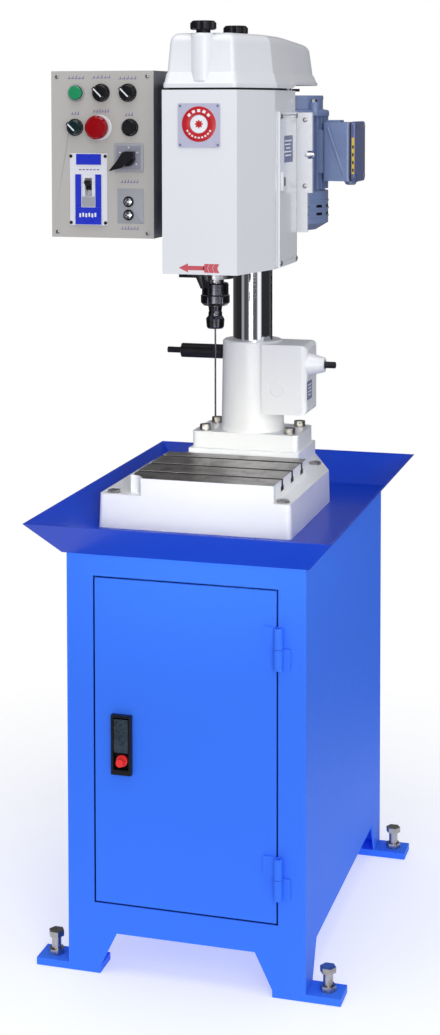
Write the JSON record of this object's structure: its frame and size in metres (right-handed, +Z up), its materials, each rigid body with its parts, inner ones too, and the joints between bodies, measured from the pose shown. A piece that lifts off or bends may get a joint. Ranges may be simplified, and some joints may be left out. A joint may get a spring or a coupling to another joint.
{
  "type": "drill press",
  "caption": "Column drill press with belt-driven spindle, control box and T-slot table, standing in a chip pan on a cabinet with a door.",
  "frame": {"origin": "on the floor, under the middle of the overall bounding box", "axes": "+Z up, -Y towards the operator at the front, +X to the operator's right, towards the crank stub"},
  "size_m": [0.572, 0.734, 1.561],
  "materials": {
    "cabinet_blue": "gloss enamel",
    "body_white": "gloss enamel",
    "cast_white": "gloss enamel over casting",
    "lid_white": "gloss enamel over casting",
    "ground_steel": "ground",
    "bright_steel": "polished",
    "zinc_steel": "zinc plated",
    "dark_steel": "blackened",
    "bronze": "machined",
    "black_plastic": "moulded",
    "belt_rubber": "matt",
    "motor_blue": "painted",
    "cowl_blue": "painted",
    "box_grey": "satin powder coat",
    "panel_grey": "satin",
    "badge": "printed",
    "green": "moulded",
    "red": "moulded",
    "breaker_white": "moulded"
  },
  "bodies": {
    "base": {"cabinet_sides": "cabinet_blue", "cabinet_back": "cabinet_blue", "cabinet_front": "cabinet_blue", "cabinet_floor": "cabinet_blue", "foot_plates": "cabinet_blue", "levelling_feet": "zinc_steel", "chip_pan": "cabinet_blue", "frame_hinge_knuckles": "cabinet_blue", "table_base": "cast_white", "base_bolts": "zinc_steel", "column_support": "cast_white", "flange_bolts": "zinc_steel", "gearbox_cover": "cast_white", "shaft_plug": "zinc_steel"},
    "door": {"door_panel": "cabinet_blue", "door_hinge_knuckles": "cabinet_blue", "latch_housing": "black_plastic"},
    "latch_paddle": {"latch_paddle": "bright_steel"},
    "latch_button": {"latch_button": "red"},
    "lift_gear": {"pinion_shaft": "dark_steel", "lift_wheel": "bronze"},
    "lift_worm": {"worm_shaft": "dark_steel"},
    "clamp": {"clamp_spindle": "dark_steel"},
    "head": {"column": "bright_steel", "column_rack": "dark_steel", "head_casting": "cast_white", "side_cover": "body_white", "side_cover_screws": "zinc_steel", "badge_plate": "badge", "stop_plate": "dark_steel", "drive_belt": "belt_rubber", "motor_frame": "motor_blue", "motor_cowl": "cowl_blue", "motor_plate": "body_white", "terminal_box": "motor_blue", "control_box": "box_grey", "control_panel": "panel_grey", "breaker": "breaker_white"},
    "quill": {"quill": "ground_steel", "quill_bearings": "ground_steel"},
    "spindle": {"spindle": "ground_steel", "collet_chuck": "bright_steel", "reducer_chuck": "bright_steel", "drill_bit": "zinc_steel"},
    "drive_pulley": {"spindle_pulley": "lid_white"},
    "rotor": {"motor_rotor": "dark_steel", "motor_pulley": "zinc_steel"},
    "belt_cover": {"belt_cover": "lid_white"},
    "cover_knob_front": {"cover_knob_front": "black_plastic"},
    "cover_knob_back": {"cover_knob_back": "black_plastic"},
    "green_button": {"green_button": "green"},
    "black_button": {"black_button": "black_plastic"},
    "stop_button": {"stop_button": "red"},
    "selector_left": {"selector_left": "black_plastic"},
    "selector_right": {"selector_right": "black_plastic"},
    "selector_small": {"selector_small": "black_plastic"},
    "cam_switch": {"cam_switch": "black_plastic"},
    "breaker_toggle": {"breaker_toggle": "black_plastic"},
    "toggle_upper": {"toggle_upper": "bright_steel"},
    "toggle_lower": {"toggle_lower": "bright_steel"}
  },
  "joints": [
    {"name": "door_hinge", "type": "hinge", "parent": "base", "child": "door", "pos_m": [0.186, -0.318, 0.4], "axis": [0, 0, 1], "range_deg": [0, 110]},
    {"name": "latch_lift", "type": "hinge", "parent": "door", "child": "latch_paddle", "pos_m": [-0.076, -0.316, 0.427], "axis": [-1, 0, 0], "range_deg": [0, 35]},
    {"name": "latch_press", "type": "slide", "parent": "door", "child": "latch_button", "axis": [0, 1, 0], "range_m": [0, 0.003], "stiffness_N_per_m": 400},
    {"name": "column_slide", "type": "slide", "parent": "base", "child": "head", "axis": [0, 0, 1], "range_m": [-0.03, 0.11]},
    {"name": "lift_gear_turn", "type": "hinge", "parent": "base", "child": "lift_gear", "pos_m": [0.069, 0.19, 0.903], "axis": [0, 1, 0], "range_deg": [-68, 244]},
    {"name": "lift_worm_turn", "type": "hinge", "parent": "base", "child": "lift_worm", "pos_m": [0.069, 0.16, 0.948], "axis": [1, 0, 0], "range_deg": [-7300, 2000]},
    {"name": "clamp_turn", "type": "hinge", "parent": "base", "child": "clamp", "pos_m": [-0.091, 0.19, 0.961], "axis": [1, 0, 0], "range_deg": [-90, 90]},
    {"name": "quill_feed", "type": "slide", "parent": "head", "child": "quill", "axis": [0, 0, -1], "range_m": [0, 0.06]},
    {"name": "spindle_turn", "type": "hinge", "parent": "quill", "child": "spindle", "pos_m": [0.009, -0.06, 1.2], "axis": [0, 0, 1], "continuous": true},
    {"name": "pulley_turn", "type": "hinge", "parent": "head", "child": "drive_pulley", "pos_m": [0.009, -0.06, 1.47], "axis": [0, 0, 1], "continuous": true},
    {"name": "rotor_turn", "type": "hinge", "parent": "head", "child": "rotor", "pos_m": [0.067, 0.221, 1.33], "axis": [0, 0, 1], "continuous": true},
    {"name": "cover_lift", "type": "slide", "parent": "head", "child": "belt_cover", "axis": [0, 0, 1], "range_m": [0, 0.12]},
    {"name": "front_knob_turn", "type": "hinge", "parent": "belt_cover", "child": "cover_knob_front", "pos_m": [0.009, -0.13, 1.551], "axis": [0, 0, 1], "range_deg": [-180, 180]},
    {"name": "back_knob_turn", "type": "hinge", "parent": "belt_cover", "child": "cover_knob_back", "pos_m": [0.009, 0.072, 1.551], "axis": [0, 0, 1], "range_deg": [-180, 180]},
    {"name": "green_press", "type": "slide", "parent": "head", "child": "green_button", "axis": [0, 1, 0], "range_m": [0, 0.004], "stiffness_N_per_m": 400},
    {"name": "black_press", "type": "slide", "parent": "head", "child": "black_button", "axis": [0, 1, 0], "range_m": [0, 0.004], "stiffness_N_per_m": 400},
    {"name": "stop_press", "type": "slide", "parent": "head", "child": "stop_button", "axis": [0, 1, 0], "range_m": [0, 0.005], "stiffness_N_per_m": 600},
    {"name": "selector_left_turn", "type": "hinge", "parent": "head", "child": "selector_left", "pos_m": [-0.193, -0.072, 1.442], "axis": [0, 1, 0], "range_deg": [0, 90]},
    {"name": "selector_right_turn", "type": "hinge", "parent": "head", "child": "selector_right", "pos_m": [-0.144, -0.072, 1.442], "axis": [0, 1, 0], "range_deg": [0, 90]},
    {"name": "selector_small_turn", "type": "hinge", "parent": "head", "child": "selector_small", "pos_m": [-0.2415, -0.072, 1.382], "axis": [0, 1, 0], "range_deg": [0, 90]},
    {"name": "cam_turn", "type": "hinge", "parent": "head", "child": "cam_switch", "pos_m": [-0.1425, -0.072, 1.328], "axis": [0, 1, 0], "range_deg": [0, 90]},
    {"name": "breaker_throw", "type": "hinge", "parent": "head", "child": "breaker_toggle", "pos_m": [-0.217, -0.064, 1.278], "axis": [1, 0, 0], "range_deg": [0, 60]},
    {"name": "toggle_upper_throw", "type": "hinge", "parent": "head", "child": "toggle_upper", "pos_m": [-0.1435, -0.072, 1.2535], "axis": [1, 0, 0], "range_deg": [-12, 12]},
    {"name": "toggle_lower_throw", "type": "hinge", "parent": "head", "child": "toggle_lower", "pos_m": [-0.1435, -0.072, 1.2305], "axis": [1, 0, 0], "range_deg": [-12, 12]}
  ],
  "couplings": [
    {"joint": "lift_gear_turn", "follows": "column_slide", "rad_per_m": 38.462},
    {"joint": "lift_worm_turn", "follows": "column_slide", "rad_per_m": -1153.8},
    {"joint": "pulley_turn", "follows": "rotor_turn", "ratio": 0.33333},
    {"joint": "spindle_turn", "follows": "rotor_turn", "ratio": 0.33333}
  ]
}
